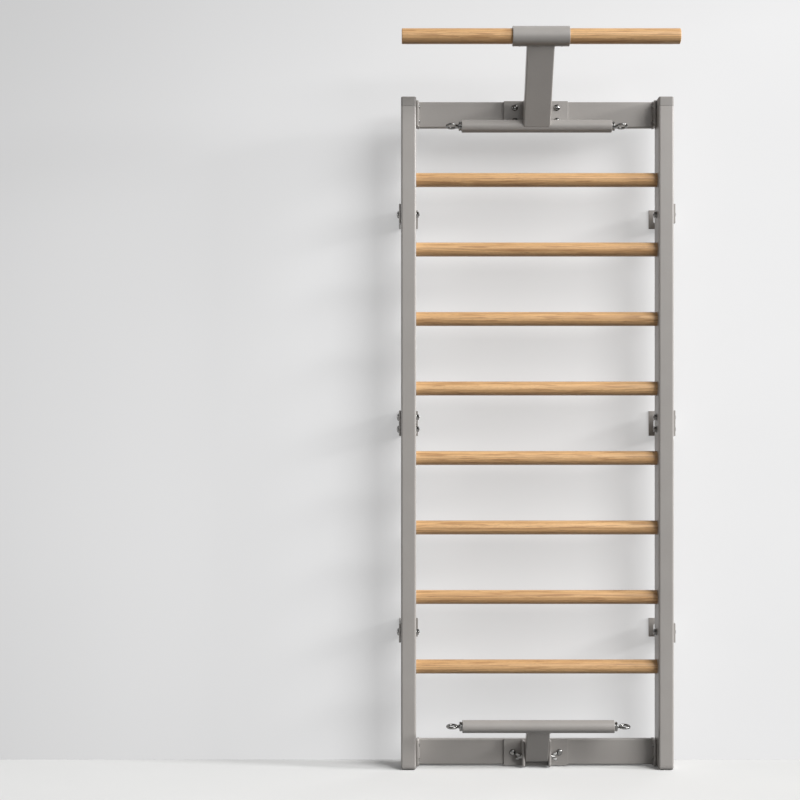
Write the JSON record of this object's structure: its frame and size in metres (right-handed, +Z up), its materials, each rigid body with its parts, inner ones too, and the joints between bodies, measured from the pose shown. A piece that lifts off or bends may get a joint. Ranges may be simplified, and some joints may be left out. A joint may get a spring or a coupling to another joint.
{
  "type": "wall bars with a pull-up bar",
  "caption": "Steel-framed wall bars with round wooden rungs, a wooden pull-up bar on a forward arm, and eye bars at the head and on a hinged arm at the foot.",
  "frame": {"origin": "on the floor, midway across the width and midway between the wall and the foremost point of the pull-up sleeve", "axes": "+Z up, +Y towards the wall, +X to the right as seen from the front"},
  "size_m": [0.8352, 0.306, 2.178],
  "materials": {
    "paint": "satin warm grey powder coat",
    "plastic": "matt grey",
    "wood": "oiled oak, satin",
    "zinc": "bright zinc"
  },
  "bodies": {
    "frame": {"left_upright": "paint", "right_upright": "paint", "left_top_cap": "plastic", "right_top_cap": "plastic", "left_foot": "plastic", "right_foot": "plastic", "top_crossbar": "paint", "bottom_crossbar": "paint", "rung_1": "wood", "rung_2": "wood", "rung_3": "wood", "rung_4": "wood", "rung_5": "wood", "rung_6": "wood", "rung_7": "wood", "rung_8": "wood", "left_bottom_wall_bracket": "paint", "left_middle_wall_bracket": "paint", "left_top_wall_bracket": "paint", "right_bottom_wall_bracket": "paint", "right_middle_wall_bracket": "paint", "right_top_wall_bracket": "paint", "left_bottom_bracket_bolt": "zinc", "left_middle_lower_bracket_bolt": "zinc", "left_middle_upper_bracket_bolt": "zinc", "left_top_bracket_bolt": "zinc", "right_bottom_bracket_bolt": "zinc", "right_middle_lower_bracket_bolt": "zinc", "right_middle_upper_bracket_bolt": "zinc", "right_top_bracket_bolt": "zinc", "left_bottom_bracket_nut": "zinc", "left_middle_lower_bracket_nut": "zinc", "left_middle_upper_bracket_nut": "zinc", "left_top_bracket_nut": "zinc", "right_bottom_bracket_nut": "zinc", "right_middle_lower_bracket_nut": "zinc", "right_middle_upper_bracket_nut": "zinc", "right_top_bracket_nut": "zinc", "top_mount_bracket": "paint", "top_mount_bracket_left_lower_bolt": "zinc", "top_mount_bracket_left_upper_bolt": "zinc", "top_mount_bracket_right_lower_bolt": "zinc", "top_mount_bracket_right_upper_bolt": "zinc", "pull_up_arm": "paint", "pull_up_bar": "wood", "top_eye_bar": "paint", "top_left_bush": "zinc", "top_right_bush": "zinc", "anchor_bracket": "paint", "anchor_bracket_left_bolt": "zinc", "anchor_bracket_right_bolt": "zinc"},
    "anchor_arm": {"anchor_arm": "paint", "bottom_left_bush": "zinc", "bottom_right_bush": "zinc"},
    "top_left_eye": {"top_left_eye": "zinc"},
    "top_right_eye": {"top_right_eye": "zinc"},
    "bottom_left_eye": {"bottom_left_eye": "zinc"},
    "bottom_right_eye": {"bottom_right_eye": "zinc"},
    "left_wing_bolt": {"left_wing_bolt": "zinc"},
    "right_wing_bolt": {"right_wing_bolt": "zinc"}
  },
  "joints": [
    {"name": "anchor_hinge", "type": "hinge", "parent": "frame", "child": "anchor_arm", "pos_m": [0, 0.0357, 0.033], "axis": [1, 0, 0], "range_deg": [-33, 56]},
    {"name": "top_left_eye_swivel", "type": "hinge", "parent": "frame", "child": "top_left_eye", "pos_m": [-0.254, 0.0269, 1.917], "axis": [1, 0, 0], "continuous": true},
    {"name": "top_right_eye_swivel", "type": "hinge", "parent": "frame", "child": "top_right_eye", "pos_m": [0.254, 0.0269, 1.917], "axis": [1, 0, 0], "continuous": true},
    {"name": "bottom_left_eye_swivel", "type": "hinge", "parent": "anchor_arm", "child": "bottom_left_eye", "pos_m": [-0.254, -0.03232, 0.135], "axis": [1, 0, 0], "continuous": true},
    {"name": "bottom_right_eye_swivel", "type": "hinge", "parent": "anchor_arm", "child": "bottom_right_eye", "pos_m": [0.254, -0.03232, 0.135], "axis": [1, 0, 0], "continuous": true},
    {"name": "left_wing_bolt_turn", "type": "hinge", "parent": "frame", "child": "left_wing_bolt", "pos_m": [-0.045, 0.0357, 0.033], "axis": [-1, 0, 0], "continuous": true},
    {"name": "right_wing_bolt_turn", "type": "hinge", "parent": "frame", "child": "right_wing_bolt", "pos_m": [0.045, 0.0357, 0.033], "axis": [1, 0, 0], "continuous": true}
  ]
}
